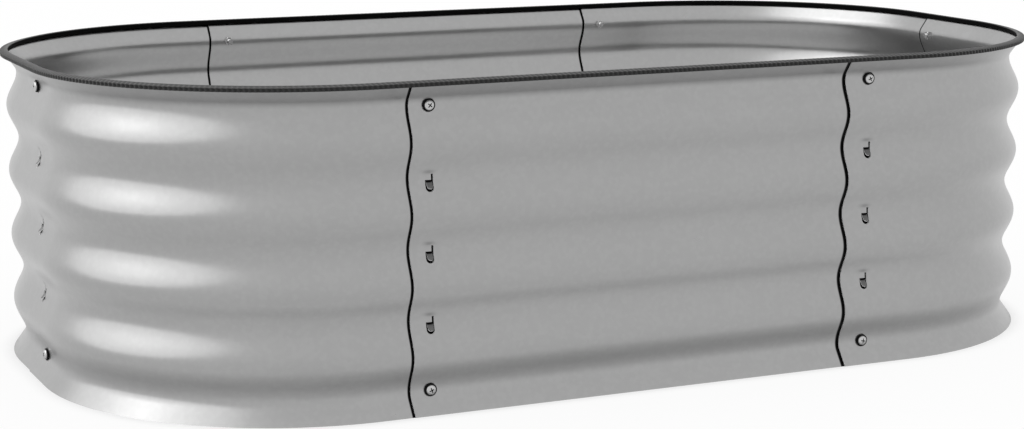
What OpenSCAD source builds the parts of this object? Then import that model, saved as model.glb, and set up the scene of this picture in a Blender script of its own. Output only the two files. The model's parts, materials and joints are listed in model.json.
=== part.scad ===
// Raised garden bed: an oval ring of six corrugated sheet panels, lapped at six seams.
// Origin at the middle of the ground footprint, X along the length, Z up, front at -Y.
// Going round counter-clockwise, each panel's leading edge lies outside the one before it.

/* [Plan] */
// Straight run of each long side, between the corner bends
side_run = 548; // [460:2:900]
// Straight run of each end, between the corner bends
end_run = 108; // [90:2:400]
// Radius of the corner bends, to the outer face in a valley
corner_r = 231.5; // [120:0.5:400]
// Distance from a corner bend to the fastener column on a long side
side_tail = 47.5; // [40:0.5:70]
// Distance of the end seams from the middle, towards the back on the right and the front on the left
end_shift = 14; // [0:1:14]

/* [Corrugation] */
// Height from one valley to the next
pitch = 64; // [58:1:80]
// Number of whole crests between the lowest and the highest valley
crests = 4; // [3:1:6]
// Reach of a crest beyond the valleys
depth = 10.5; // [6:0.5:14]
// Height from the outermost valley to the edge of the sheet
edge_rise = 21; // [18:0.5:26]
// Slope of the flared edges, away from upright
flare_angle = 36; // [20:1:38]
// Radius of the bend from the outermost valley into the flare
flare_bend_r = 12; // [8:1:16]
// Thickness of the sheet, measured level through the wall
sheet_t = 0.8; // [0.6:0.1:1.2]

/* [Laps] */
// Clearance between the two sheets of a lap
lap_gap = 0.2; // [0.1:0.05:0.4]
// Sheet beyond the fasteners at the leading edge of a straight panel
lead_straight = 19; // [16:1:30]
// Sheet beyond the fasteners at the leading edge of a corner panel
lead_corner = 25; // [16:1:30]
// Sheet beyond the fasteners at the trailing edge of every panel
trail = 19; // [16:1:30]

/* [Hooks] */
// Width of a hook's tongue
hook_w = 6.5; // [5:0.5:9]
// Width of the slit round a tongue
hook_slit = 0.6; // [0.5:0.1:1.2]
// Width of the notch that frees one side of the flap above the tongue
notch_w = 1.8; // [1.2:0.2:3]
// Height of the notch's top above the valley
notch_rise = 3; // [1:0.5:5]
// Reach of the flap below the valley
flap_drop = 2.2; // [1:0.2:4]
// Height of the slot between the flap and the tongue's fold
slot_h = 1.4; // [1:0.1:2.5]
// Length of the tongue that stands outward
tongue_l = 8.5; // [7:0.5:10]
// Angle of the tongue, outward from upright
tongue_angle = 38; // [32:1:50]

/* [Fasteners] */
// Diameter of the bolt's shank
bolt_d = 5; // [4:0.5:6]
// Diameter of the pan head
head_d = 9.2; // [8:0.1:10]
// Height of the pan head
head_h = 2.4; // [2:0.1:3.5]
// Radius of the rounded rim of the pan head
head_round = 1.6; // [1:0.1:1.9]
// Span of the cross recess in the head
recess_l = 4.6; // [3.5:0.1:5.5]
// Width of one arm of the cross recess
recess_w = 1; // [0.7:0.1:1.4]
// Depth of the cross recess
recess_h = 1.5; // [1:0.1:1.8]
// Outer diameter of the rubber washer
washer_d = 11.5; // [11:0.5:14]
// Least thickness of the rubber washer under the head
washer_t = 0.9; // [0.8:0.1:2]
// Least thickness of the rubber washer at its rim
washer_rim = 0.3; // [0.2:0.1:1]
// Width of the nut across its flats
nut_af = 8; // [7.5:0.5:10]
// Thickness of the nut
nut_h = 4; // [3:0.5:5]
// Chamfer on the corners of the nut
nut_chamfer = 0.6; // [0.3:0.1:0.8]
// Length of shank that shows beyond the nut
bolt_tip = 2.4; // [1.5:0.1:5]
// Chamfer at the end of the shank
tip_chamfer = 0.5; // [0.2:0.1:0.8]
// Clearance round a shank in the sheets
hole_gap = 0.25; // [0.1:0.05:0.5]
// Clearance round a shank in its washer and its nut
thread_gap = 0.05; // [0.03:0.01:0.1]
// Clearance between a washer or a nut and the sheet that it is drawn against
seat_gap = 0.05; // [0.02:0.01:0.1]

/* [Edge trim] */
// Width of the rubber trim over the top edge
trim_w = 8; // [7.5:0.1:10]
// Depth of sheet that the trim covers
trim_skirt = 3; // [2:0.5:5]
// Thickness of the trim above the sheet
trim_roof = 2; // [1.5:0.1:3]
// Radius of the trim's upper corner over the inside
trim_round = 1.2; // [0.6:0.1:1.4]
// Radius of the trim's upper corner over the outside
trim_shoulder = 2.4; // [0.6:0.1:2.6]
// Clearance between the trim's groove and the sheets in it
trim_gap = 0.15; // [0.1:0.05:0.3]

/* [Hidden] */
// Steps of the section in one pitch, in a flare bend, and in a rounded corner
wave_steps = 16;
bend_steps = 4;
round_steps = 4;
tongue_steps = 10;
// Overrun of cuts past the faces that they cut, and of a fold into its sheet
over = 20;
fold_bite = 0.4;
$fn = 96;

lap_step = sheet_t + lap_gap;
half_side = side_run / 2;
half_end = end_run / 2;
bolt_x = half_side - side_tail;
wall_x = half_side + corner_r;
wall_y = half_end + corner_r;
first_z = edge_rise;
last_z = first_z + crests * pitch;
sheet_h = last_z + edge_rise;
bend_z = flare_bend_r * sin(flare_angle);
bend_out = flare_bend_r * (1 - cos(flare_angle));

// Reach of the outer face beyond a valley: in the corrugation, in a flare, and at any height
function wave(u) = depth / 2 * (1 - cos(360 * u / pitch));
function flare(u) = u < bend_z ? flare_bend_r - sqrt(flare_bend_r * flare_bend_r - u * u)
                               : bend_out + (u - bend_z) * tan(flare_angle);
function swell(z) = z < first_z ? flare(first_z - z)
                  : z > last_z ? flare(z - last_z)
                  : wave(z - first_z);

bend_heights = [for (i = [1:bend_steps]) flare_bend_r * sin(flare_angle * i / bend_steps)];
low_heights = [for (i = [bend_steps - 1:-1:0]) first_z - bend_heights[i]];
wave_heights = [for (i = [0:crests * wave_steps]) first_z + i * pitch / wave_steps];
high_heights = [for (h = bend_heights) last_z + h];
heights = concat([0], low_heights, wave_heights, high_heights, [sheet_h]);
steps = len(heights) - 1;

// Outline of the sheet, standing `r` from the axis
function sheet_outline(r) = concat(
    [for (i = [0:steps]) [r + swell(heights[i]), heights[i]]],
    [for (i = [steps:-1:0]) [r + swell(heights[i]) - sheet_t, heights[i]]]);

// Seams in order round the bed: plan place, turn, and how far out the inner sheet lies there
SEAMS = ["front_left", "front_right", "right_end", "back_right", "back_left", "left_end"];
seam_place = [[-bolt_x, -wall_y], [bolt_x, -wall_y], [wall_x, end_shift], [bolt_x, wall_y],
              [-bolt_x, wall_y], [-wall_x, -end_shift]];
seam_turn = [0, 0, 90, 180, 180, 270];
inner_out = [-lap_step, 0, -lap_step / 2, -lap_step, 0, -lap_step / 2];

// Fastener rows: bolts in the outermost valleys and hooks in the valleys between
ROWS = ["bottom", "top"];
bolt_heights = [first_z, last_z];
hook_heights = [for (i = [1:crests - 1]) first_z + i * pitch];

// Heights of a hook's fold and its openings' foot, from the centre of its valley, and their width
tongue_root = -flap_drop - slot_h;
window_low = tongue_root - tongue_l - hook_slit;
window_w = hook_w + 2 * hook_slit;

// Stand of the head over the valley, so that it and the washer's rim clear the curved sheet
function valley_rise(r) = max(flare(r), wave(r));
washer_stand = max(washer_t + valley_rise(head_d / 2), washer_rim + valley_rise(washer_d / 2));

// Groove and width of the trim, from the sheet's slope under it
edge_out = swell(sheet_h);
groove_low = swell(sheet_h - trim_skirt);
trim_mid = (edge_out + groove_low - sheet_t) / 2;
trim_out = trim_mid + trim_w / 2;
trim_in = trim_mid - trim_w / 2;
trim_top = sheet_h + trim_roof;
trim_low = sheet_h - trim_skirt;

PANELS = ["front_panel", "front_right_corner", "back_right_corner", "back_panel",
          "back_left_corner", "front_left_corner"];

// Straight wall along +X from the origin, with its outer face towards -Y
module wall_run(length, r = 0) {
    rotate([90, 0, 90])
        linear_extrude(length)
            mirror([1, 0])
                polygon(sheet_outline(r));
}

// Places children at a seam: X along the wall, -Y outward, origin on the nominal valley face
module at_seam(s) {
    translate(seam_place[s])
        rotate(seam_turn[s])
            children();
}

// Round lower end of an upright outline of width w, and a tongue's whole outline
function round_end(w, low) = [for (i = [0:tongue_steps])
    let (a = -180 * i / tongue_steps) [w / 2 * cos(a), low + w / 2 + w / 2 * sin(a)]];
function tongue_outline(w, high, low) = concat([[w / 2, high]], round_end(w, low), [[-w / 2, high]]);

module through_cut(points) {
    rotate([90, 0, 0])
        linear_extrude(2 * over, center = true)
            polygon(points);
}

module bolt_holes(s) {
    at_seam(s)
        for (z = bolt_heights)
            translate([0, 0, z])
                rotate([90, 0, 0])
                    cylinder(d = bolt_d + 2 * hole_gap, h = 2 * over, center = true);
}

// Outer sheet: the opening that a tongue comes out through, notched beside the flap above it
module hook_openings(s) {
    at_seam(s)
        for (z = hook_heights)
            translate([0, 0, z])
                through_cut(concat(
                    [[window_w / 2 - notch_w, -flap_drop], [window_w / 2 - notch_w, notch_rise],
                     [window_w / 2, notch_rise]],
                    round_end(window_w, window_low),
                    [[-window_w / 2, -flap_drop]]));
}

// Inner sheet: the window that the tongue was folded out of
module hook_windows(s) {
    at_seam(s)
        for (z = hook_heights)
            translate([0, 0, z])
                through_cut(tongue_outline(window_w, tongue_root, window_low));
}

module hook_tongues(s) {
    at_seam(s)
        for (z = hook_heights)
            translate([0, -inner_out[s] - swell(z + tongue_root), z + tongue_root])
                rotate([90 - tongue_angle, 0, 0])
                    translate([0, 0, -sheet_t * sin(tongue_angle) - sheet_t / 2])
                        linear_extrude(sheet_t)
                            polygon(tongue_outline(hook_w, fold_bite, -tongue_l));
}

// A panel is cut at its leading seam as the outer sheet, and cut and folded at its trailing one
module lapped(lead_seam, trail_seam) {
    difference() {
        children();
        bolt_holes(lead_seam);
        bolt_holes(trail_seam);
        hook_openings(lead_seam);
        hook_windows(trail_seam);
    }
    hook_tongues(trail_seam);
}

// Straight panel for the front; the back is the same panel turned half round
module straight_panel() {
    translate([-bolt_x - lead_straight, 0, 0])
        wall_run(2 * bolt_x + lead_straight + trail, wall_y);
}

// Corner panel about its bend's centre: from a leading tail along -X, round, to a trailing one along +Y
module corner_panel(lead_tail, trail_tail) {
    translate([-lead_tail, 0, 0])
        wall_run(lead_tail, corner_r);
    rotate(-90)
        rotate_extrude(angle = 90)
            polygon(sheet_outline(corner_r));
    rotate(90)
        wall_run(trail_tail, corner_r);
}

module front_corner() {
    translate([half_side - lap_step / 2, -half_end - lap_step, 0])
        corner_panel(side_tail + lead_corner, half_end + end_shift + trail);
}

module back_corner() {
    translate([half_side + lap_step / 2, half_end - lap_step, 0])
        rotate(90)
            corner_panel(half_end - end_shift + lead_corner, side_tail + trail);
}

module front_panel() {
    color("silver")
        lapped(0, 1)
            straight_panel();
}

module back_panel() {
    color("silver")
        lapped(3, 4)
            rotate(180)
                straight_panel();
}

module front_right_corner() {
    color("silver")
        lapped(1, 2)
            front_corner();
}

module back_right_corner() {
    color("silver")
        lapped(2, 3)
            back_corner();
}

module back_left_corner() {
    color("silver")
        lapped(4, 5)
            rotate(180)
                front_corner();
}

module front_left_corner() {
    color("silver")
        lapped(5, 0)
            rotate(180)
                back_corner();
}

// Section of the trim: round upper corners, and a groove that leans with the flared sheets
function corner_arc(x, z, r, from) = [for (i = [0:round_steps])
    let (a = from + 90 * i / round_steps) [x + r * cos(a), z + r * sin(a)]];
function trim_outline(r) = [for (p = concat(
    [[trim_out, trim_low]],
    corner_arc(trim_out - trim_shoulder, trim_top - trim_shoulder, trim_shoulder, 0),
    corner_arc(trim_in + trim_round, trim_top - trim_round, trim_round, 90),
    [[trim_in, trim_low],
     [groove_low - sheet_t - lap_step - trim_gap, trim_low],
     [edge_out - sheet_t - lap_step - trim_gap, sheet_h],
     [edge_out + lap_step + trim_gap, sheet_h],
     [groove_low + lap_step + trim_gap, trim_low]])) [r + p[0], p[1]]];

module trim_straight(length, place, turn) {
    translate(place)
        rotate(turn)
            rotate([90, 0, 90])
                linear_extrude(length)
                    mirror([1, 0])
                        polygon(trim_outline(corner_r));
}

module trim_bend(place, turn) {
    translate(place)
        rotate(turn)
            rotate_extrude(angle = 90)
                polygon(trim_outline(corner_r));
}

module edge_trim() {
    color("#1c1c1e")
        for (side = [0, 180])
            rotate(side) {
                trim_straight(side_run, [-half_side, -half_end], 0);
                trim_bend([half_side, -half_end], -90);
                trim_straight(end_run, [half_side, -half_end], 90);
                trim_bend([half_side, half_end], 0);
            }
}

// Rubber washer, moulded on its inner face to the curve of the valley
module washer(s, row) {
    z = bolt_heights[row];
    out = inner_out[s] + lap_step;
    rim = [for (h = heights) if (abs(h - z) < washer_d) h];
    last = len(rim) - 1;
    color("#202022")
        at_seam(s)
            difference() {
                translate([0, -out, z])
                    rotate([90, 0, 0])
                        difference() {
                            cylinder(d = washer_d, h = washer_stand);
                            translate([0, 0, -over / 2])
                                cylinder(d = bolt_d + 2 * thread_gap, h = over);
                        }
                rotate([90, 0, 90])
                    linear_extrude(2 * washer_d, center = true)
                        polygon(concat(
                            [for (h = rim) [-out - swell(h) - seat_gap, h]],
                            [[over, rim[last]], [over, rim[0]]]));
            }
}

// Pan-head bolt: head on the washer, shank through the lap and the nut
module bolt(s, row) {
    under = inner_out[s] + lap_step + washer_stand;
    shank = under + sheet_t - inner_out[s] + seat_gap + nut_h + bolt_tip;
    color("gainsboro")
        at_seam(s)
            translate([0, -under, bolt_heights[row]])
                rotate([90, 0, 0])
                    difference() {
                        rotate_extrude()
                            polygon(concat(
                                [[0, -shank], [bolt_d / 2 - tip_chamfer, -shank],
                                 [bolt_d / 2, tip_chamfer - shank], [bolt_d / 2, 0], [head_d / 2, 0]],
                                [for (i = [0:round_steps])
                                    let (a = 90 * i / round_steps)
                                    [head_d / 2 - head_round + head_round * cos(a),
                                     head_h - head_round + head_round * sin(a)]],
                                [[0, head_h]]));
                        translate([0, 0, head_h])
                            for (turn = [0, 90])
                                rotate(turn)
                                    cube([recess_l, recess_w, 2 * recess_h], center = true);
                    }
}

// Hexagon nut with a chamfered outer face
module nut(s, row) {
    face = sheet_t - inner_out[s] + seat_gap;
    corner = nut_af / cos(30);
    color("gainsboro")
        at_seam(s)
            translate([0, face, bolt_heights[row]])
                rotate([-90, 0, 0])
                    difference() {
                        intersection() {
                            cylinder(d = corner, h = nut_h, $fn = 6);
                            rotate_extrude()
                                polygon([[0, 0], [corner / 2, 0], [corner / 2, nut_h - nut_chamfer],
                                         [corner / 2 - nut_chamfer, nut_h], [0, nut_h]]);
                        }
                        translate([0, 0, -nut_h / 2])
                            cylinder(d = bolt_d + 2 * thread_gap, h = 2 * nut_h);
                    }
}

front_panel();
front_right_corner();
back_right_corner();
back_panel();
back_left_corner();
front_left_corner();
edge_trim();
for (s = [0:len(SEAMS) - 1])
    for (row = [0, 1]) {
        bolt(s, row);
        washer(s, row);
        nut(s, row);
    }
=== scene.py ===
"""Raised garden bed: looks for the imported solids.

Sizes named here are in millimetres, and MM turns them to metres.
"""
import json
import math

import bpy
import numpy as np
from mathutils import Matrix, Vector
from mathutils.geometry import delaunay_2d_cdt

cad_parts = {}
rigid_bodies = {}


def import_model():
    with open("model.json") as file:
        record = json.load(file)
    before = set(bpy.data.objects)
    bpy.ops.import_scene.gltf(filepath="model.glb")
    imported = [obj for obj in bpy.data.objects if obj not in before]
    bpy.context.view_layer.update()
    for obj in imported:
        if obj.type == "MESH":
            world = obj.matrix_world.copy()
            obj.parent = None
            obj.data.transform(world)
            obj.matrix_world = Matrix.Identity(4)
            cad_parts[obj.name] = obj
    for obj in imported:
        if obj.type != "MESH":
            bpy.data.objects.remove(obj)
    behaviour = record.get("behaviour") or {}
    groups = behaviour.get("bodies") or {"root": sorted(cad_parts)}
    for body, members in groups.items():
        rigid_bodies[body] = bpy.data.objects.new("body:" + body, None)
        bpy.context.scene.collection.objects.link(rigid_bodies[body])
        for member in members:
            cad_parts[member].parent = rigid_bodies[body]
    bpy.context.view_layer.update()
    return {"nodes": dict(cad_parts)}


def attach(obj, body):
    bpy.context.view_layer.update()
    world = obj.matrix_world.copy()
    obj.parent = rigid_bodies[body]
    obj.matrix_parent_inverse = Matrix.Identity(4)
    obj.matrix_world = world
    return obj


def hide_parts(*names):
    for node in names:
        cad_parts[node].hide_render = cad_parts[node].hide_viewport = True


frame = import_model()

MM = 0.001
TINY, WELD = 1e-6, 1e-5

# Plan of the bed: straight runs, corners, and how far the panels reach past their seams
SIDE_RUN, END_RUN, CORNER_R = 548.0, 108.0, 231.5
SIDE_TAIL, END_SHIFT = 47.5, 14.0
LEAD_STRAIGHT, LEAD_CORNER, TRAIL = 19.0, 25.0, 19.0

# Section of the sheets
PITCH, CRESTS, DEPTH, EDGE_RISE = 64.0, 4, 10.5, 21.0
FLARE_ANGLE, FLARE_BEND_R = math.radians(36), 12.0
SHEET_T, LAP_GAP = 0.8, 0.2

# Hooks: the opening with its notch and flap, the tongue in its slit, the dark skin of painted shadow
# behind it
HOOK_W, HOOK_SLIT, NOTCH_W, NOTCH_RISE = 5.5, 1.1, 2.1, 3.0
FLAP_DROP, SLOT_H = 2.2, 1.4
BULGE, BULGE_ABOVE, BULGE_BESIDE, BULGE_FADE, BULGE_REACH = 0.55, 1.5, 2.0, 4.5, 9
TONGUE_L, TONGUE_ANGLE, TONGUE_BEND_R = 8.0, math.radians(44), 1.6
SKIN_IN, SKIN_T, SKIN_BITE = 0.08, 0.3, 0.15

# Edge trim and its ribs
TRIM_W, TRIM_SKIRT, TRIM_ROOF, TRIM_GAP = 8.0, 3.0, 2.0, 0.15
TRIM_SHOULDER, TRIM_ROUND, TRIM_FALL = 1.1, 1.2, 1.3
RIB_PITCH, RIB_DEPTH, RIB_SLANT, RIB_NARROW = 4.7, 0.95, 0.25, 1.3
RIB_RING_OUT = 10.0

# Shares of the ribs' depth at the trim's foot, where its top begins, and where its top ends; the top
# begins where the section's normal has that upward part
RIB_FOOT, RIB_TOP, RIB_BACK = 0.5, 0.5, 0.1
TOP_NORMAL = 0.85

# Fasteners
HOLE_D = 5.5
BOLT_D, BOLT_TIP, TIP_CHAMFER, NUT_H, SEAT_GAP = 5.0, 2.4, 0.5, 4.0, 0.05
HEAD_D, HEAD_H, HEAD_RIM = 9.2, 2.4, 0.35
RECESS_L, RECESS_W, RECESS_H = 4.6, 1.0, 1.5
THREAD_PITCH, THREAD_DEPTH = 0.8, 0.35
WASHER_D, WASHER_T, WASHER_RIM = 11.5, 0.9, 0.3
FIRST_TURN, NEXT_TURN = 20, 31
HARD_EDGE = math.radians(30)

# Fineness of the meshes
FLARE_STEPS, WAVE_STEPS, BEND_STEPS = 14, 44, 60
CLOSE_REACH, CLOSE_STEP, WIDE_STEP, LEAST_STEP = 14, 2.0, 9, 0.9
HOLE_STEP, HOLE_CLEAR, HOLE_ZONE = 1.2, 0.7, 22
SLACK, HAIR = 0.05, 0.01
RIB_STEPS, ROUND_STEPS, TOP_STEPS, FRONT_STEPS, BACK_STEPS = 10, 6, 6, 4, 5
HEAD_STEPS, BOLT_SIDES, THREAD_STEP = 12, 48, 0.1

# Painted shade on the sheets' outer faces: their shares of black, and where they lie
POCKET_SHADE, TONGUE_SHADE, FLARE_SHADE, BULGE_SHADE = 1.0, 0.6, 0.24, 0.4
FLARE_FROM, FLARE_FADE = 1.0, 6.0
BULGE_SHADE_X, BULGE_SHADE_Z, BULGE_SHADE_WIDE, BULGE_SHADE_HIGH = -0.5, 5.0, 5.0, 1.6
POCKET_SIDE, POCKET_END, TONGUE_SHADE_FROM = 2.5, 2.0, 0.9

# Derived sizes
LAP = SHEET_T + LAP_GAP
HALF_SIDE, HALF_END = SIDE_RUN / 2, END_RUN / 2
BOLT_X = HALF_SIDE - SIDE_TAIL
WALL_X, WALL_Y = HALF_SIDE + CORNER_R, HALF_END + CORNER_R
FIRST_Z = EDGE_RISE
LAST_Z = FIRST_Z + CRESTS * PITCH
SHEET_H = LAST_Z + EDGE_RISE
HOOK_ZS = [FIRST_Z + i * PITCH for i in range(1, CRESTS)]
BOLT_ZS = [FIRST_Z, LAST_Z]
TONGUE_ROOT = -FLAP_DROP - SLOT_H
WINDOW_LOW = TONGUE_ROOT - TONGUE_L - HOOK_SLIT
WINDOW_W = HOOK_W + 2 * HOOK_SLIT
RING_R = CORNER_R + RIB_RING_OUT

# Seams, counter-clockwise from the front's left one: name, place in plan, turn from the front, and
# how far the covered sheet stands out of the valley line
SEAM_NAMES = ["front_left", "front_right", "right_end", "back_right", "back_left", "left_end"]
SEAM_PLACE = [(-BOLT_X, -WALL_Y), (BOLT_X, -WALL_Y), (WALL_X, END_SHIFT),
              (BOLT_X, WALL_Y), (-BOLT_X, WALL_Y), (-WALL_X, -END_SHIFT)]
SEAM_TURN = [0, 0, 90, 180, 180, 270]
SEAM_INNER = [-LAP, 0, -LAP / 2, -LAP, 0, -LAP / 2]

# Opposite seams are alike in the covering sheet's lead, and in the share by which the painted shade in
# the step is narrowed: a lower share is a wider shade
COVER_LEAD = [LEAD_STRAIGHT, LEAD_CORNER, LEAD_CORNER]
STEP_SHARE = [0.87, 0.56, 1.0]


# The wall's section and plan

def flare(u):
    """Reach of the outer face beyond a valley, u above the last valley or below the first."""
    u = np.asarray(u, float)
    bend_z = FLARE_BEND_R * math.sin(FLARE_ANGLE)
    bend_out = FLARE_BEND_R * (1 - math.cos(FLARE_ANGLE))
    curved = FLARE_BEND_R - np.sqrt(np.maximum(FLARE_BEND_R ** 2 - u * u, 0))
    return np.where(u < bend_z, curved, bend_out + (u - bend_z) * math.tan(FLARE_ANGLE))


def swell(z):
    """Reach of the outer face beyond a valley at height z."""
    z = np.asarray(z, float)
    wave = DEPTH / 2 * (1 - np.cos(2 * np.pi * (z - FIRST_Z) / PITCH))
    return np.where(z < FIRST_Z, flare(FIRST_Z - z), np.where(z > LAST_Z, flare(z - LAST_Z), wave))


class Run:
    """A panel's plan, counter-clockwise: a straight lead, a quarter bend if any, a straight trail."""

    def __init__(self, centre, turn, lead, bend, trail):
        self.lead, self.arc = lead, CORNER_R * math.pi / 2 if bend else 0.0
        self.length = lead + self.arc + trail
        self.centre, self.turn = np.array(centre, float), math.radians(turn)

    def at(self, s):
        """Points of the outer face's valley line at run s, and their outward normals."""
        s = np.asarray(s, float)
        a = np.clip((s - self.lead) / CORNER_R, 0, self.arc / CORNER_R) - math.pi / 2
        n = np.stack([np.cos(a), np.sin(a)], -1)
        along = np.minimum(s - self.lead, 0) + np.maximum(s - self.lead - self.arc, 0)
        p = CORNER_R * n + along[..., None] * np.stack([-n[..., 1], n[..., 0]], -1)
        c, d = math.cos(self.turn), math.sin(self.turn)
        spin = np.array([[c, d], [-d, c]])
        return p @ spin + self.centre, n @ spin

    def find(self, seam):
        """Run at which a seam's fastener column lies."""
        s = np.linspace(0, self.length, 20001)
        p, _ = self.at(s)
        return float(s[np.argmin(((p - SEAM_PLACE[seam]) ** 2).sum(1))])


# Each panel's plan, and the seams at its leading and its trailing end
PANELS = {
    "front_panel": (
        Run(centre=(BOLT_X + TRAIL, -HALF_END), turn=0,
            lead=2 * BOLT_X + LEAD_STRAIGHT + TRAIL, bend=False, trail=0), 0, 1),
    "front_right_corner": (
        Run(centre=(HALF_SIDE - LAP / 2, -HALF_END - LAP), turn=0,
            lead=SIDE_TAIL + LEAD_CORNER, bend=True, trail=HALF_END + END_SHIFT + TRAIL), 1, 2),
    "back_right_corner": (
        Run(centre=(HALF_SIDE + LAP / 2, HALF_END - LAP), turn=90,
            lead=HALF_END - END_SHIFT + LEAD_CORNER, bend=True, trail=SIDE_TAIL + TRAIL), 2, 3),
}
TWINS = {
    "front_panel": "back_panel",
    "front_right_corner": "back_left_corner",
    "back_right_corner": "front_left_corner",
}


# Holes of a sheet, as closed loops of points (across, up) round a fastener's or a hook's place

def loop_arc(w, low, n=14):
    """Round lower end of an upright outline, from its right side to its left."""
    a = -np.pi * np.arange(n + 1) / n
    return np.stack([w / 2 * np.cos(a), low + w / 2 + w / 2 * np.sin(a)], -1)


def opening_loop():
    """Opening in the outer sheet that a tongue comes out through, notched beside its flap."""
    half, inner = WINDOW_W / 2, WINDOW_W / 2 - NOTCH_W
    notch = [(inner, -FLAP_DROP), (inner, NOTCH_RISE), (half, NOTCH_RISE)]
    return np.concatenate([notch, loop_arc(WINDOW_W, WINDOW_LOW), [(-half, -FLAP_DROP)]])


def slit_loop():
    """U-shaped slit round the tongue in the inner sheet."""
    outer = loop_arc(WINDOW_W, WINDOW_LOW)
    inner = loop_arc(HOOK_W, WINDOW_LOW + HOOK_SLIT)[::-1]
    wide, slim = WINDOW_W / 2, HOOK_W / 2
    left = [(-wide, TONGUE_ROOT), (-slim, TONGUE_ROOT)]
    return np.concatenate([[(wide, TONGUE_ROOT)], outer, left, inner, [(slim, TONGUE_ROOT)]])


def circle_loop(d, n=32):
    """Bolt hole of diameter d."""
    a = 2 * np.pi * np.arange(n) / n
    return np.stack([d / 2 * np.cos(a), d / 2 * np.sin(a)], -1)


def panel_holes(lead_col, trail_col):
    """Every hole of a panel, as (loop, run, height)."""
    holes = [(circle_loop(HOLE_D), c, z) for c in (lead_col, trail_col) for z in BOLT_ZS]
    holes += [(opening_loop(), lead_col, z) for z in HOOK_ZS]
    holes += [(slit_loop(), trail_col, z) for z in HOOK_ZS]
    return holes


def refine(loop, step):
    """The loop with its long edges split."""
    out = []
    for p, q in zip(loop, np.roll(loop, -1, axis=0)):
        n = max(1, int(math.ceil(np.linalg.norm(q - p) / step)))
        out += [p + (q - p) * i / n for i in range(n)]
    return np.array(out)


def inside(pts, loop):
    """Which points lie inside a loop."""
    x, y = pts[:, 0:1], pts[:, 1:2]
    x0, y0 = loop[:, 0], loop[:, 1]
    x1, y1 = np.roll(x0, -1), np.roll(y0, -1)
    with np.errstate(divide="ignore", invalid="ignore"):
        cross = (y0 > y) != (y1 > y)
        hit = cross & (x < (x1 - x0) * (y - y0) / (y1 - y0) + x0)
    return hit.sum(1) % 2 == 1


def near(pts, loop, gap):
    """Which points lie closer to a loop's points than gap."""
    d = ((pts[:, None] - loop[None]) ** 2).sum(2).min(1)
    return d < gap * gap


def hole_zone(pts, c, z):
    """Indices of the points close enough to a hole to be tested against its loop."""
    return np.flatnonzero((np.abs(pts - (c, z)) < HOLE_ZONE).all(1))


# A sheet laid flat, as points (run, height) and triangles

def wall_rows():
    """Heights of a sheet's grid lines: even over the waves, and over the flares."""
    low = np.linspace(0, FIRST_Z, FLARE_STEPS + 1)[:-1]
    mid = np.linspace(FIRST_Z, LAST_Z, CRESTS * WAVE_STEPS + 1)
    high = np.linspace(LAST_Z, SHEET_H, FLARE_STEPS + 1)[1:]
    return np.concatenate([low, mid, high])


def wall_columns(run, cols):
    """Runs of a sheet's grid lines: close on the bends and round the fasteners, wide elsewhere."""
    bend_from = run.lead if run.arc else run.length
    bend_to = bend_from + run.arc
    s = list(np.linspace(bend_from, bend_to, BEND_STEPS + 1)) if run.arc else []
    for c in cols:
        s += list(c + np.arange(-CLOSE_REACH, CLOSE_REACH + 1, CLOSE_STEP))
    s += list(np.linspace(0, bend_from, max(2, int(bend_from / WIDE_STEP))))
    s += list(np.linspace(bend_to, run.length, max(2, int((run.length - bend_to) / WIDE_STEP))))
    s = np.unique(np.round(np.clip(s, 0, run.length), 3))
    keep = [s[0]]
    for v in s[1:]:
        if v - keep[-1] > LEAST_STEP:
            keep.append(v)
    keep[-1] = run.length
    return np.array(keep)


def double_area(co, tri):
    """Twice the area of each triangle, negative where it runs clockwise."""
    a, b = co[tri[:, 1]] - co[tri[:, 0]], co[tri[:, 2]] - co[tri[:, 0]]
    return a[:, 0] * b[:, 1] - a[:, 1] * b[:, 0]


def triangulate(run, holes):
    """Points and triangles of a panel's flat outline, with its holes left out."""
    cols = wall_columns(run, sorted({round(c, 3) for _, c, _ in holes}))
    grid = np.stack(np.meshgrid(cols, wall_rows(), indexing="ij"), -1).reshape(-1, 2)
    edge = ((grid < TINY) | (grid > np.array([run.length, SHEET_H]) - TINY)).any(1)
    keep = np.ones(len(grid), bool)
    loops = []
    for loop, c, z in holes:
        placed = refine(loop, HOLE_STEP) + (c, z)
        loops.append(placed)
        close = hole_zone(grid, c, z)
        keep[close[inside(grid[close], placed) | near(grid[close], placed, HOLE_CLEAR)]] = False
    pts = [grid[keep | edge]]
    n = len(pts[0])
    edges = []
    for loop in loops:
        edges += [(n + i, n + (i + 1) % len(loop)) for i in range(len(loop))]
        pts.append(loop)
        n += len(loop)
    out = delaunay_2d_cdt([Vector(p) for p in np.concatenate(pts)], edges, [], 0, WELD)
    co = np.array([tuple(v) for v in out[0]])
    tri = np.array([f for f in out[2] if len(f) == 3])
    mid = co[tri].mean(1)
    keep = np.abs(double_area(co, tri)) > TINY
    for loop, (_, c, z) in zip(loops, holes):
        close = hole_zone(mid, c, z)
        keep[close[inside(mid[close], loop)]] = False
    return co, tri[keep]


# A sheet in its place

def ramp(x):
    """Smooth step from 0 to 1."""
    x = np.clip(x, 0, 1)
    return x * x * (3 - 2 * x)


def on_tongue(x, t):
    """Which points x off a tongue's middle and t below its root belong to the tongue."""
    round_from = TONGUE_L - HOOK_W / 2
    off = np.hypot(x, np.maximum(t - round_from, 0))
    return (t > HAIR) & (off < HOOK_W / 2 + SLACK)


def flap_lift(x, h):
    """How far a flap is eased outward, at x off its column and h above its valley."""
    top, half = NOTCH_RISE + BULGE_ABOVE, WINDOW_W / 2
    up = ramp((top - h) / (top + FLAP_DROP)) * (h > -FLAP_DROP - SLACK)
    across = ramp((x + half + BULGE_BESIDE) / BULGE_FADE) * (x < half - NOTCH_W + SLACK)
    near_flap = (np.abs(x) < BULGE_REACH) & (np.abs(h) < BULGE_REACH)
    return np.where(near_flap, BULGE * up * across, 0)


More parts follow.
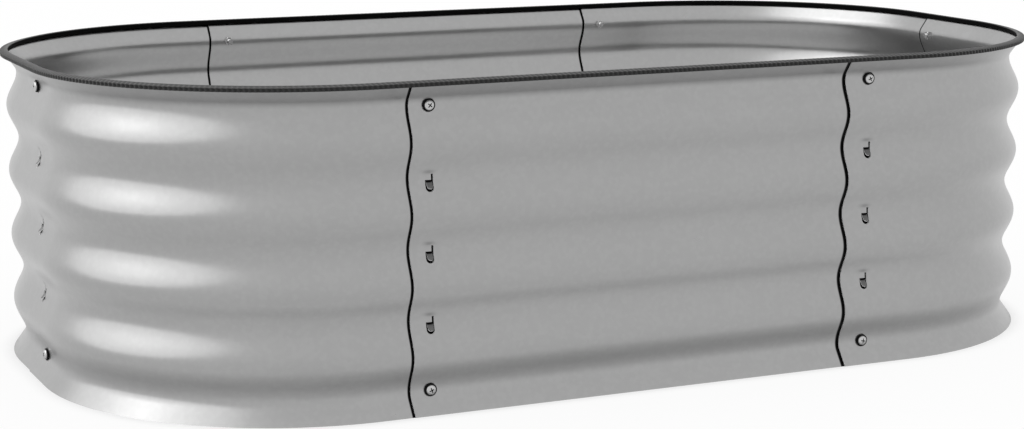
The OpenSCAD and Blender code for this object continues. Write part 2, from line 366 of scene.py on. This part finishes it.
def tongue_bend(t):
    """How far a tongue stands out and drops at a run t below its root, and how it leans there."""
    lean = np.clip(t / TONGUE_BEND_R, 0, TONGUE_ANGLE)
    rest = np.maximum(t - TONGUE_BEND_R * TONGUE_ANGLE, 0)
    bow = TONGUE_BEND_R * (1 - np.cos(lean)) + rest * math.sin(TONGUE_ANGLE)
    drop = TONGUE_BEND_R * np.sin(lean) + rest * math.cos(TONGUE_ANGLE)
    return bow, drop, lean


def place_sheet(run, co, lead_col, trail_col):
    """Outer and inner points of a sheet in metres, with tongues bent out and flaps eased up."""
    s, z = co[:, 0], co[:, 1]
    xy, n = run.at(s)
    out, z_out, z_in = swell(z), z.copy(), z.copy()
    back = out - SHEET_T
    for hook_z in HOOK_ZS:
        lift = flap_lift(s - lead_col, z - hook_z)
        out, back = out + lift, back + lift
        t = TONGUE_ROOT - (z - hook_z)
        m = on_tongue(s - trail_col, t)
        bow, drop, lean = tongue_bend(t)
        root_z = hook_z + TONGUE_ROOT
        root = float(swell(root_z))
        out = np.where(m, root + bow, out)
        z_out = np.where(m, root_z - drop, z_out)
        back = np.where(m, root + bow - SHEET_T * np.cos(lean), back)
        z_in = np.where(m, root_z - drop - SHEET_T * np.sin(lean), z_in)
    outer = np.column_stack([xy + n * out[:, None], z_out])
    inner = np.column_stack([xy + n * back[:, None], z_in])
    return outer * MM, inner * MM


def outer_shade(co, lead_col, trail_col):
    """Painted shade of the outer face: under the trim, above each flap, round and on each tongue."""
    # Painted shade under the trim, standing in for the shaded floor by the foot that the flare mirrors.
    shade = FLARE_SHADE * ramp((co[:, 1] - LAST_Z - FLARE_FROM) / FLARE_FADE)
    for hook_z in HOOK_ZS:
        x, h = co[:, 0] - lead_col, co[:, 1] - hook_z
        # Painted shade above each flap's bulge.
        spread = ((x - BULGE_SHADE_X) / BULGE_SHADE_WIDE) ** 2 + ((h - BULGE_SHADE_Z) / BULGE_SHADE_HIGH) ** 2
        shade = shade + BULGE_SHADE * np.exp(-spread)
        # Painted shade: black in the pocket round each hook's window, and darker on each tongue.
        x = co[:, 0] - trail_col
        pocket = np.abs(x) < WINDOW_W / 2 + POCKET_SIDE
        pocket &= (h < NOTCH_RISE + POCKET_END) & (h > WINDOW_LOW - POCKET_END)
        shade = np.where(pocket, POCKET_SHADE, shade)
        tongue = on_tongue(x, TONGUE_ROOT - h) & (h < TONGUE_ROOT - TONGUE_SHADE_FROM)
        shade = np.where(tongue, TONGUE_SHADE, shade)
    return shade


def window_shadow_skin(run, trail_col, hook_z):
    """Painted shadow: a thin dark skin across the window behind a tongue, level with the sheet's inner
    face.
    """
    w = WINDOW_W / 2 + SKIN_BITE
    arc = loop_arc(2 * w, WINDOW_LOW - SKIN_BITE, 8)
    loop = np.concatenate([[(w, TONGUE_ROOT + SKIN_BITE)], arc, [(-w, TONGUE_ROOT + SKIN_BITE)]])
    xy, n = run.at(trail_col + loop[:, 0])
    z = hook_z + loop[:, 1]
    base = swell(z) - SHEET_T + SKIN_IN
    rings = [np.column_stack([xy + n * (base + d)[:, None], z]) * MM for d in (0.0, SKIN_T)]
    k = len(loop)
    # The loop runs clockwise as seen from outside.
    faces = [tuple(range(k)), tuple(range(2 * k - 1, k - 1, -1))]
    faces += [(i, i + k, (i + 1) % k + k, (i + 1) % k) for i in range(k)]
    return np.concatenate(rings), faces


def mesh_object(name, verts, faces, sharp=35, slots=None):
    """A smooth mesh with edges sharp from a given angle on; slots name each face's material."""
    me = bpy.data.meshes.new(name)
    me.from_pydata([tuple(v) for v in verts], [], [tuple(int(i) for i in f) for f in faces])
    if slots is not None:
        me.polygons.foreach_set("material_index", slots)
    me.validate()
    me.shade_smooth()
    me.set_sharp_from_angle(angle=math.radians(sharp))
    obj = bpy.data.objects.new(name, me)
    bpy.context.scene.collection.objects.link(obj)
    return obj


def add_field(obj, name, values):
    """A value for each point, which a material reads by its name."""
    field = obj.data.attributes.new(name, "FLOAT", "POINT")
    field.data.foreach_set("value", np.asarray(values, np.float32))


def sheet_panel(name, run, lead_seam, trail_seam):
    """A panel: both faces of the sheet, its cut edges, and the fields that its material reads."""
    lead_col, trail_col = run.find(lead_seam), run.find(trail_seam)
    co, tri = triangulate(run, panel_holes(lead_col, trail_col))
    outer, inner = place_sheet(run, co, lead_col, trail_col)
    k = len(co)
    # Flat triangles turn so that the outer face's normal points outward.
    flip = double_area(co, tri) < 0
    tri[flip] = tri[flip][:, ::-1]
    edges = dict.fromkeys((t[i], t[(i + 1) % 3]) for t in tri for i in range(3))
    rim = [e for e in edges if (e[1], e[0]) not in edges]
    faces = [tuple(t) for t in tri] + [tuple(t[::-1] + k) for t in tri]
    slots = [0] * len(faces) + [1] * len(rim)
    faces += [(e[1], e[0], e[0] + k, e[1] + k) for e in rim]
    verts = [outer, inner]
    # Skins of painted shadow across the windows behind the tongues.
    for hook_z in HOOK_ZS:
        skin, skin_faces = window_shadow_skin(run, trail_col, hook_z)
        first = sum(len(v) for v in verts)
        verts.append(skin)
        faces += [tuple(i + first for i in f) for f in skin_faces]
        slots += [2] * len(skin_faces)
    verts = np.concatenate(verts)
    obj = mesh_object(name, verts, faces, slots=slots)
    extra = np.zeros(len(verts) - 2 * k)
    # Distance past the covering sheet's edge: outside at the trailing end, inside at the leading end.
    kind = trail_seam % len(STEP_SHARE)
    past_out = ((trail_col - COVER_LEAD[kind]) - co[:, 0]) * STEP_SHARE[kind]
    past_in = co[:, 0] - (lead_col + TRAIL)
    add_field(obj, "lap_dist", np.concatenate([past_out, past_in, extra]))
    shade = outer_shade(co, lead_col, trail_col)
    add_field(obj, "shade", np.concatenate([shade, np.zeros(k), extra]))
    return obj


def twin(obj, name):
    """A copy turned half round about the upright axis."""
    me = obj.data.copy()
    me.name = name
    co = np.zeros(len(me.vertices) * 3, np.float32)
    me.vertices.foreach_get("co", co)
    co = co.reshape(-1, 3) * (-1, -1, 1)
    me.vertices.foreach_set("co", co.astype(np.float32).ravel())
    me.update()
    copy = bpy.data.objects.new(name, me)
    bpy.context.scene.collection.objects.link(copy)
    return copy


# Materials

class Nodes:
    """Shorthand for building a material's node tree."""

    def __init__(self, name):
        self.mat = bpy.data.materials.new(name)
        self.mat.use_nodes = True
        self.tree = self.mat.node_tree
        self.shader = self.tree.nodes["Principled BSDF"]

    def add(self, kind, inputs=None, **props):
        node = self.tree.nodes.new(kind)
        for key, value in props.items():
            setattr(node, key, value)
        for key, value in (inputs or {}).items():
            self.put(node, key, value)
        return node

    def put(self, node, key, value):
        if isinstance(value, bpy.types.NodeSocket):
            self.tree.links.new(value, node.inputs[key])
        else:
            node.inputs[key].default_value = value

    def place(self):
        return self.add("ShaderNodeTexCoord").outputs["Object"]

    def field(self, name):
        return self.add("ShaderNodeAttribute", attribute_name=name).outputs["Fac"]

    def maths(self, op, a, b=0.0):
        return self.add("ShaderNodeMath", {0: a, 1: b}, operation=op).outputs[0]

    def smooth(self, value, lo, hi, out_lo=0.0, out_hi=1.0):
        ends = {"Value": value, "From Min": lo, "From Max": hi, "To Min": out_lo, "To Max": out_hi}
        return self.add("ShaderNodeMapRange", ends, interpolation_type="SMOOTHSTEP").outputs[0]

    def mix(self, fac, a, b):
        return self.add("ShaderNodeMix", {0: fac, 6: a, 7: b}, data_type="RGBA").outputs[2]

    def noise(self, vector, scale, detail=2.0):
        grain = {"Vector": vector, "Scale": scale, "Detail": detail}
        return self.add("ShaderNodeTexNoise", grain).outputs["Fac"]

    def stretch(self, vector, scale):
        return self.add("ShaderNodeMapping", {"Vector": vector, "Scale": scale}).outputs[0]

    def bump(self, height, strength, distance):
        relief = {"Height": height, "Strength": strength, "Distance": distance}
        self.put(self.shader, "Normal", self.add("ShaderNodeBump", relief).outputs[0])


def grey(v):
    return (v, v, v, 1)


SHEET_GREY = 0.366
SHEET_ROUGH = 0.29


def sheet_material():
    """Galvanised sheet: soft spangle and cloud, with painted shade where the fields say so."""
    n = Nodes("galvanised_sheet")
    place = n.place()
    cells = n.add("ShaderNodeTexVoronoi", {"Vector": place, "Scale": 260.0}, feature="SMOOTH_F1")
    spangle = n.smooth(cells.outputs["Color"], 0.2, 0.8)
    cloud = n.noise(place, 9.0, 3.0)
    fine = n.noise(place, 900.0)
    tone = n.maths("ADD", n.maths("MULTIPLY", spangle, 0.5), n.maths("MULTIPLY", cloud, 0.5))
    base = n.mix(tone, grey(SHEET_GREY * 0.96), grey(SHEET_GREY * 1.04))
    # Painted shade in the step where the covering sheet ends, and wherever the shade field says.
    lap = n.field("lap_dist")
    step = n.maths("MULTIPLY", n.smooth(lap, -0.8, -0.2), n.smooth(lap, 1.9, 2.7, 1.0, 0.0))
    base = n.mix(n.maths("MAXIMUM", step, n.field("shade")), base, grey(0.003))
    n.put(n.shader, "Base Color", base)
    n.shader.inputs["Metallic"].default_value = 1.0
    rough = n.maths("ADD", SHEET_ROUGH - 0.03, n.maths("MULTIPLY", n.noise(place, 60.0, 4.0), 0.06))
    n.put(n.shader, "Roughness", rough)
    relief = n.maths("ADD", n.maths("MULTIPLY", fine, 0.3), n.maths("MULTIPLY", spangle, 0.7))
    n.bump(relief, 0.05, 0.0004)
    return n.mat


def cut_edge_material():
    """Bare cut edge of the sheet, painted brighter than its zinc faces: a painted highlight along it.
    """
    n = Nodes("cut_edge")
    streak = n.noise(n.stretch(n.place(), (1.0, 1.0, 0.25)), 1800.0)
    # Painted highlight: a colour far above the zinc's, so the edge shows as a light line.
    n.put(n.shader, "Base Color", n.mix(streak, grey(0.75), grey(0.92)))
    n.shader.inputs["Metallic"].default_value = 1.0
    n.put(n.shader, "Roughness", n.maths("ADD", 0.65, n.maths("MULTIPLY", streak, 0.15)))
    return n.mat


def pocket_shadow_material():
    """Painted shadow: black for the skin across the window behind a hook, where there is only shade."""
    n = Nodes("hook_pocket_shadow")
    n.put(n.shader, "Base Color", n.mix(n.noise(n.place(), 400.0), grey(0.002), grey(0.005)))
    n.shader.inputs["Roughness"].default_value = 0.9
    n.shader.inputs["Specular IOR Level"].default_value = 0.0
    return n.mat


def rubber_material(name, tone, rough, gloss, sheen=0.0):
    """Black rubber, with painted shade down in the grooves where the piece has that field."""
    n = Nodes(name)
    n.shader.inputs["Specular IOR Level"].default_value = gloss
    n.shader.inputs["Sheen Weight"].default_value = sheen
    n.shader.inputs["Sheen Roughness"].default_value = 0.35
    place = n.place()
    cloud = n.noise(place, 120.0, 4.0)
    worn = n.mix(cloud, grey(tone * 0.8), grey(tone * 1.25))
    # Painted shade down in the rib grooves.
    n.put(n.shader, "Base Color", n.mix(n.smooth(n.field("groove"), 0.15, 0.7), worn, grey(0.002)))
    n.put(n.shader, "Roughness", n.maths("ADD", rough - 0.05, n.maths("MULTIPLY", cloud, 0.1)))
    n.bump(n.noise(place, 1500.0, 3.0), 0.2, 0.0003)
    return n.mat


def zinc_material():
    """Zinc-plated steel, with painted shade down in the bolts' cross recess."""
    n = Nodes("zinc_plate")
    place = n.place()
    cloud = n.noise(place, 300.0, 4.0)
    # Painted shade: occlusion close by darkens the colour down in the recess.
    recess_shade = n.add("ShaderNodeAmbientOcclusion", {"Distance": 0.003}, samples=12, only_local=True)
    face = n.mix(cloud, grey(0.42), grey(0.6))
    n.put(n.shader, "Base Color", n.mix(n.smooth(recess_shade.outputs["AO"], 0.5, 0.9), grey(0.02), face))
    n.shader.inputs["Metallic"].default_value = 1.0
    n.put(n.shader, "Roughness", n.maths("ADD", 0.22, n.maths("MULTIPLY", cloud, 0.12)))
    n.bump(n.noise(place, 2500.0), 0.15, 0.0002)
    return n.mat


SHEET = sheet_material()
CUT_EDGE = cut_edge_material()
POCKET_SHADOW = pocket_shadow_material()
TRIM = rubber_material("trim_rubber", tone=0.012, rough=0.34, gloss=0.3, sheen=0.2)
TRIM_TOP = rubber_material("trim_rubber_top", tone=0.012, rough=0.45, gloss=0.4, sheen=0.05)
# The inner skirt's rubber is a darker copy of the trim's: painted shade.
SHADED_SKIRT = rubber_material("trim_rubber_inside_shaded", tone=0.002, rough=0.7, gloss=0.03)
WASHER = rubber_material("washer_rubber", tone=0.003, rough=0.6, gloss=0.1)
ZINC = zinc_material()


def dress(obj, *materials, slot=None):
    """Give a piece its materials, in the order that its faces name them."""
    if obj.data.materials:
        obj.data.materials.clear()
    for material in materials:
        obj.data.materials.append(material)
    return obj


# Panels

def panels():
    """Three panels, each with a twin opposite."""
    for node, (run, lead_seam, trail_seam) in PANELS.items():
        panel = sheet_panel(node + "_sheet", run, lead_seam, trail_seam)
        other = twin(panel, TWINS[node] + "_sheet")
        for piece, stands_for in ((panel, node), (other, TWINS[node])):
            dress(piece, SHEET, CUT_EDGE, POCKET_SHADOW, slot="galvanised_sheet")
            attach(piece, "root")
            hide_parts(stands_for)


# Edge trim

def ring_path():
    """Points round the bed: their places on the valley line, outward normals, and ribs passed."""
    around = 2 * SIDE_RUN + 2 * END_RUN + 2 * math.pi * RING_R
    count = int(round(around / RIB_PITCH)) * RIB_STEPS
    spots = np.arange(count) * around / count
    centre, angle = np.zeros((count, 2)), np.zeros(count)
    corners = [(x * HALF_SIDE, y * HALF_END) for x, y in ((-1, -1), (1, -1), (1, 1), (-1, 1))]
    bend = RING_R * math.pi / 2
    start = 0.0
    for side in range(4):
        turn = math.radians(90 * side)
        straight = (SIDE_RUN, END_RUN)[side % 2]
        m = (spots >= start - TINY) & (spots < start + straight)
        ahead = np.array([math.cos(turn), math.sin(turn)])
        centre[m] = np.array(corners[side]) + (spots[m] - start)[:, None] * ahead
        angle[m] = turn - math.pi / 2
        start += straight
        m = (spots >= start - TINY) & (spots < start + bend)
        centre[m] = corners[(side + 1) % 4]
        angle[m] = turn - math.pi / 2 + (spots[m] - start) / RING_R
        start += bend
    n = np.stack([np.cos(angle), np.sin(angle)], -1)
    return centre + CORNER_R * n, n, np.arange(count) / RIB_STEPS


def trim_section():
    """The trim's section (reach, height), each point's share of the ribs, and its outward direction."""
    edge, low = float(swell(SHEET_H)), float(swell(SHEET_H - TRIM_SKIRT))
    mid = (edge + low - SHEET_T) / 2
    out, back = mid + TRIM_W / 2, mid - TRIM_W / 2
    top, foot = SHEET_H + TRIM_ROOF, SHEET_H - TRIM_SKIRT
    low_top = top - TRIM_FALL
    flat_from, flat_to = out - TRIM_SHOULDER, back + TRIM_ROUND
    shoulder_z, round_z = low_top - TRIM_SHOULDER, top - TRIM_ROUND
    lean = math.atan2(TRIM_FALL, flat_from - flat_to)
    pts, share, normal = [], [], []

    def put(x, z, k=0.0, nx=0.0, nz=0.0):
        pts.append((x, z))
        share.append(k)
        normal.append((nx, nz))

    for i in range(FRONT_STEPS):
        put(out, foot + (shoulder_z - foot) * i / FRONT_STEPS, min(1.0, RIB_FOOT + i / 2), 1, 0)
    for i in range(ROUND_STEPS + 1):
        u = i / ROUND_STEPS
        c, d = math.cos((math.pi / 2 - lean) * u), math.sin((math.pi / 2 - lean) * u)
        put(flat_from + TRIM_SHOULDER * c, shoulder_z + TRIM_SHOULDER * d, 1 + (RIB_TOP - 1) * u, c, d)
    for i in range(1, TOP_STEPS):
        u = i / TOP_STEPS
        reach = flat_from + (flat_to - flat_from) * u
        put(reach, low_top + TRIM_FALL * u, RIB_TOP + (RIB_BACK - RIB_TOP) * u, 0, 1)
    for i in range(ROUND_STEPS + 1):
        u = i / ROUND_STEPS
        a = math.pi / 2 - lean + (math.pi / 2 + lean) * u
        c, d = math.cos(a), math.sin(a)
        put(flat_to + TRIM_ROUND * c, round_z + TRIM_ROUND * d, RIB_BACK * (1 - u), c, d)
    for i in range(1, BACK_STEPS + 1):
        put(back, round_z - (round_z - foot) * i / BACK_STEPS, 0.0, -1, 0)
    put(low - SHEET_T - LAP - TRIM_GAP, foot)
    put(edge - SHEET_T - LAP - TRIM_GAP, SHEET_H)
    put(edge + LAP + TRIM_GAP, SHEET_H)
    put(low + LAP + TRIM_GAP, foot)
    return np.array(pts), np.array(share), np.array(normal)


def edge_trim():
    """The trim: its section carried round the bed, with slanted ribs."""
    place, n, phase = ring_path()
    pts, share, normal = trim_section()
    rows, k = len(place), len(pts)
    # Length round the section, so that the ribs lean as they cross it.
    girth = np.concatenate([[0], np.cumsum(np.linalg.norm(np.diff(pts, axis=0), axis=1))])
    turn = phase[:, None] + girth[None] * RIB_SLANT / RIB_PITCH
    rib = (0.5 + 0.5 * np.cos(2 * math.pi * turn)) ** RIB_NARROW - 1
    off = rib * RIB_DEPTH * share[None]
    reach = pts[None, :, 0] + off * normal[None, :, 0]
    height = pts[None, :, 1] + off * normal[None, :, 1]
    xy = place[:, None] + n[:, None] * reach[..., None]
    verts = np.concatenate([xy, height[..., None]], -1).reshape(-1, 3) * MM
    i, j = np.meshgrid(np.arange(rows), np.arange(k), indexing="ij")
    i2, j2 = (i + 1) % rows, (j + 1) % k
    faces = np.stack([i * k + j, i2 * k + j, i2 * k + j2, i * k + j2], -1).reshape(-1, 4)
    # Past its ribbed side come the section's fallen top, then its smooth inner skirt and its groove,
    # which take the darker rubber of painted shade.
    smooth_from = np.flatnonzero(share == 0)[0] - 1
    top_from = np.flatnonzero(normal[:, 1] > TOP_NORMAL)[0]
    kinds = np.where(np.arange(k) >= smooth_from, 1, np.where(np.arange(k) >= top_from, 2, 0))
    obj = mesh_object("edge_trim_ribbed", verts, faces, sharp=80, slots=np.tile(kinds, rows))
    # Depth down each rib's groove, which the rubber turns into painted shade.
    groove = np.clip(-rib, 0, 1) * (share[None] > 0)
    add_field(obj, "groove", groove.ravel())
    return obj


def trim():
    """The trim, in its materials."""
    piece = dress(edge_trim(), TRIM, SHADED_SKIRT, TRIM_TOP, slot="trim_rubber")
    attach(piece, "root")
    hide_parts("edge_trim")


# Fasteners

def valley_rise(r):
    """How far the sheet comes out within r of a valley's line."""
    return max(float(flare(r)), DEPTH / 2 * (1 - math.cos(2 * math.pi * r / PITCH)))


WASHER_STAND = max(WASHER_T + valley_rise(HEAD_D / 2), WASHER_RIM + valley_rise(WASHER_D / 2))
BOLT_LENGTH = LAP + WASHER_STAND + SHEET_T + SEAT_GAP + NUT_H + BOLT_TIP


def bolt_rings():
    """Radii and heights of the bolt's rings, from its domed head to its tip, with its seat at 0."""
    turn = 2 * np.pi * np.arange(BOLT_SIDES) / BOLT_SIDES
    plain = np.ones(BOLT_SIDES)
    rings = []
    for i in range(1, HEAD_STEPS + 1):
        a = math.pi / 2 * i / HEAD_STEPS
        rings.append((HEAD_D / 2 * math.sin(a) * plain, HEAD_RIM + (HEAD_H - HEAD_RIM) * math.cos(a)))
    rings.append((HEAD_D / 2 * plain, 0.0))
    rings.append((BOLT_D / 2 * plain, 0.0))
    thread_from, thread_to = BOLT_LENGTH - BOLT_TIP - THREAD_PITCH, BOLT_LENGTH - TIP_CHAMFER
    for z in np.arange(thread_from, thread_to, THREAD_STEP):
        fall = np.abs(2 * ((z / THREAD_PITCH + turn / (2 * np.pi)) % 1) - 1)
        rings.append((BOLT_D / 2 - THREAD_DEPTH * fall, -z))
    rings.append(((BOLT_D / 2 - TIP_CHAMFER) * plain, -BOLT_LENGTH))
    return turn, rings


def bolt_blank():
    """The bolt before its recess is cut, on its own axis."""
    turn, rings = bolt_rings()
    n = BOLT_SIDES
    verts = [(0, 0, HEAD_H * MM)]
    for r, z in rings:
        xy = zip(r * np.cos(turn), r * np.sin(turn))
        verts += [(float(x) * MM, float(y) * MM, z * MM) for x, y in xy]
    verts.append((0, 0, -BOLT_LENGTH * MM))
    faces = [(0, 1 + i, 1 + (i + 1) % n) for i in range(n)]
    for k in range(len(rings) - 1):
        a, b = 1 + k * n, 1 + (k + 1) * n
        faces += [(a + i, b + i, b + (i + 1) % n, a + (i + 1) % n) for i in range(n)]
    last = 1 + (len(rings) - 1) * n
    faces += [(last + i, len(verts) - 1, last + (i + 1) % n) for i in range(n)]
    return mesh_object("bolt_blank", verts, faces)


def recess_arm(half_x, half_y):
    """Block that cuts one arm of the cross recess."""
    corners = [(x * half_x * MM, y * half_y * MM, (HEAD_H + z * RECESS_H) * MM)
               for x in (-1, 1) for y in (-1, 1) for z in (-1, 1)]
    sides = [(0, 1, 3, 2), (4, 6, 7, 5), (0, 4, 5, 1), (2, 3, 7, 6), (0, 2, 6, 4), (1, 5, 7, 3)]
    return mesh_object("recess_arm", corners, sides)


def bolt_mesh():
    """The bolt with its cross recess cut."""
    solid = bolt_blank()
    half_l, half_w = RECESS_L / 2, RECESS_W / 2
    cutters = [recess_arm(half_l, half_w), recess_arm(half_w, half_l)]
    for cutter in cutters:
        cut = solid.modifiers.new("recess", "BOOLEAN")
        cut.operation, cut.solver, cut.object = "DIFFERENCE", "EXACT", cutter
    graph = bpy.context.evaluated_depsgraph_get()
    cut_mesh = bpy.data.meshes.new_from_object(solid.evaluated_get(graph))
    for obj in (solid, *cutters):
        bpy.data.objects.remove(obj)
    return cut_mesh


def round_off(me):
    """Smooth shading, with hard edges kept sharp."""
    me.shade_smooth()
    me.set_sharp_from_angle(angle=HARD_EDGE)


def placed_bolt(mesh, name, valley, facing, stand, turn):
    """A bolt whose seat stands out from a point of a valley, with its recess turned."""
    local = np.zeros(len(mesh.vertices) * 3, np.float32)
    mesh.vertices.foreach_get("co", local)
    local = local.reshape(-1, 3)
    c, d = math.cos(math.radians(facing)), math.sin(math.radians(facing))
    along, up, out = np.array([c, d, 0]), np.array([0, 0, 1]), np.array([d, -c, 0])
    a = math.radians(turn)
    x = local[:, 0] * math.cos(a) - local[:, 1] * math.sin(a)
    y = local[:, 0] * math.sin(a) + local[:, 1] * math.cos(a)
    seat = np.array(valley) * MM + out * stand * MM
    co = seat + x[:, None] * along + y[:, None] * up + local[:, 2:3] * out
    me = mesh.copy()
    me.vertices.foreach_set("co", co.astype(np.float32).ravel())
    me.update()
    round_off(me)
    bolt = bpy.data.objects.new(name, me)
    bpy.context.scene.collection.objects.link(bolt)
    return bolt


def bolts():
    """A bolt in the lowest and highest valley of each seam, each tightened to its own turn."""
    mesh = bolt_mesh()
    turn = FIRST_TURN
    for seam, (x, y), facing, inner in zip(SEAM_NAMES, SEAM_PLACE, SEAM_TURN, SEAM_INNER):
        stand = inner + LAP + WASHER_STAND
        for row, z in zip(("bottom", "top"), BOLT_ZS):
            name = f"bolt_{seam}_{row}_domed"
            bolt = placed_bolt(mesh, name, (x, y, z), facing, stand, turn)
            dress(bolt, ZINC)
            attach(bolt, "root")
            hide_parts(f"bolt_{seam}_{row}")
            turn += NEXT_TURN
    bpy.data.meshes.remove(mesh)


def washers_and_nuts():
    """The solids' own washers and nuts, in their materials."""
    for name, obj in frame["nodes"].items():
        if name.startswith(("washer_", "nut_")):
            dress(obj, WASHER if name.startswith("washer_") else ZINC)
            round_off(obj.data)


# Floor, light and camera; sizes and places are in metres

FLOOR_REACH, FLOOR_TONE = 9.0, 0.97

# Distances from the bed's oval over which the floor turns white, in mirrors and to the camera, and
# its shares of white outside the bed and inside it
SHADE_FROM, SHADE_TO = 0.005, 0.07
FOOT_FROM, FOOT_TO = -0.01, 0.03
WHITE_SHARE, INSIDE_SHARE = 0.9, 0.4

# Lamps: azimuth and elevation in degrees, and each disc's width and brightness
LAMP_DISTANCE, LAMP_TARGET = 3.9, (0, 0, 0.15)
KEY_FROM, KEY_DISCS = (-79, 39), ((1.4, 2.0), (2.8, 1.1), (5.6, 0.8))
TOP_FROM, TOP_DISC = (-58, 61), (3.6, 0.9)

# Camera; its sensor and lens are in millimetres
CAMERA_AT, CAMERA_TILT, CAMERA_TURN = (-0.9882, -2.1246, 0.5473), 79.532, -24.597
SENSOR, LENS = 36.0, 80.84


def floor_material():
    """White floor that fades to its own light away from the bed and keeps the bed's shade near it."""
    n = Nodes("floor_white")
    n.shader.inputs["Base Color"].default_value = grey(FLOOR_TONE)
    n.shader.inputs["Roughness"].default_value = 0.9
    n.shader.inputs["Specular IOR Level"].default_value = 0.0
    split = n.add("ShaderNodeSeparateXYZ", {0: n.add("ShaderNodeNewGeometry").outputs["Position"]})
    # Distance from the bed's oval, in metres
    squares = []
    for axis, half in (("X", HALF_SIDE), ("Y", HALF_END)):
        past = n.maths("SUBTRACT", n.maths("ABSOLUTE", split.outputs[axis]), half * MM)
        past = n.maths("MAXIMUM", past, 0.0)
        squares.append(n.maths("MULTIPLY", past, past))
    away = n.maths("SUBTRACT", n.maths("SQRT", n.maths("ADD", *squares)), CORNER_R * MM)
    seen = n.smooth(away, FOOT_FROM, FOOT_TO, 0.0, WHITE_SHARE)
    outside = n.smooth(away, SHADE_FROM, SHADE_TO, 0.0, WHITE_SHARE)
    within = n.smooth(away, -SHADE_TO, -SHADE_FROM, INSIDE_SHARE, 0.0)
    mirrored = n.maths("ADD", outside, within)
    path = n.add("ShaderNodeLightPath").outputs
    indirect = n.maths("MAXIMUM", path["Is Glossy Ray"], path["Is Transmission Ray"])
    seen = n.maths("MULTIPLY", path["Is Camera Ray"], seen)
    share = n.maths("MAXIMUM", seen, n.maths("MULTIPLY", indirect, mirrored))
    glow = n.add("ShaderNodeEmission", {"Color": grey(1.0), "Strength": 1.0})
    mix = n.add("ShaderNodeMixShader", {0: share, 1: n.shader.outputs[0], 2: glow.outputs[0]})
    n.put(n.tree.nodes["Material Output"], "Surface", mix.outputs[0])
    return n.mat


def floor():
    """A plain white floor under the bed and far round it."""
    r = FLOOR_REACH
    me = bpy.data.meshes.new("floor")
    me.from_pydata([(-r, -r, 0), (r, -r, 0), (r, r, 0), (-r, r, 0)], [], [(0, 1, 2, 3)])
    me.materials.append(floor_material())
    obj = bpy.data.objects.new("floor", me)
    bpy.context.scene.collection.objects.link(obj)


def world():
    """An even white studio round the object."""
    studio = bpy.data.worlds.new("studio")
    studio.use_nodes = True
    back = studio.node_tree.nodes["Background"]
    back.inputs["Color"].default_value = grey(1.0)
    back.inputs["Strength"].default_value = 1.0
    bpy.context.scene.world = studio


def lamp_place(azimuth, elevation):
    """Place of a lamp; an azimuth of 0 is behind the object, and 90 to its right."""
    a, e = math.radians(azimuth), math.radians(elevation)
    return Vector((math.sin(a) * math.cos(e), math.cos(a) * math.cos(e), math.sin(e))) * LAMP_DISTANCE


def lamp_disc(name, direction, width, glow):
    """Round lamp of a given width and brightness, which lights the part and not the floor."""
    light = bpy.data.lights.new(name, "AREA")
    light.shape = "DISK"
    light.size = width
    area = math.pi * width * width / 4
    light.energy = glow * math.pi * area
    lamp = bpy.data.objects.new(name, light)
    bpy.context.scene.collection.objects.link(lamp)
    lamp.location = lamp_place(*direction)
    towards = Vector(LAMP_TARGET) - lamp_place(*direction)
    lamp.rotation_euler = towards.to_track_quat("-Z", "Y").to_euler()
    part = bpy.data.collections.new("lit_by_" + name)
    for obj in bpy.context.scene.objects:
        if obj.type == "MESH" and obj.name != "floor":
            part.objects.link(obj)
    lamp.light_linking.receiver_collection = part


def lamps():
    """A key light at the left, brighter towards its middle, and a wide one high at the left behind."""
    for ring, (width, glow) in enumerate(KEY_DISCS):
        lamp_disc(f"left_key_{ring}", KEY_FROM, width, glow)
    lamp_disc("left_top", TOP_FROM, *TOP_DISC)


def camera():
    """The photo's view."""
    data = bpy.data.cameras.new("camera")
    data.sensor_fit = "HORIZONTAL"
    data.sensor_width = SENSOR
    data.lens = LENS
    obj = bpy.data.objects.new("camera", data)
    bpy.context.scene.collection.objects.link(obj)
    obj.location = CAMERA_AT
    obj.rotation_euler = (math.radians(CAMERA_TILT), 0, math.radians(CAMERA_TURN))
    bpy.context.scene.camera = obj


panels()
trim()
bolts()
washers_and_nuts()
floor()
world()
lamps()
camera()
bpy.context.scene.view_settings.view_transform = "Standard"
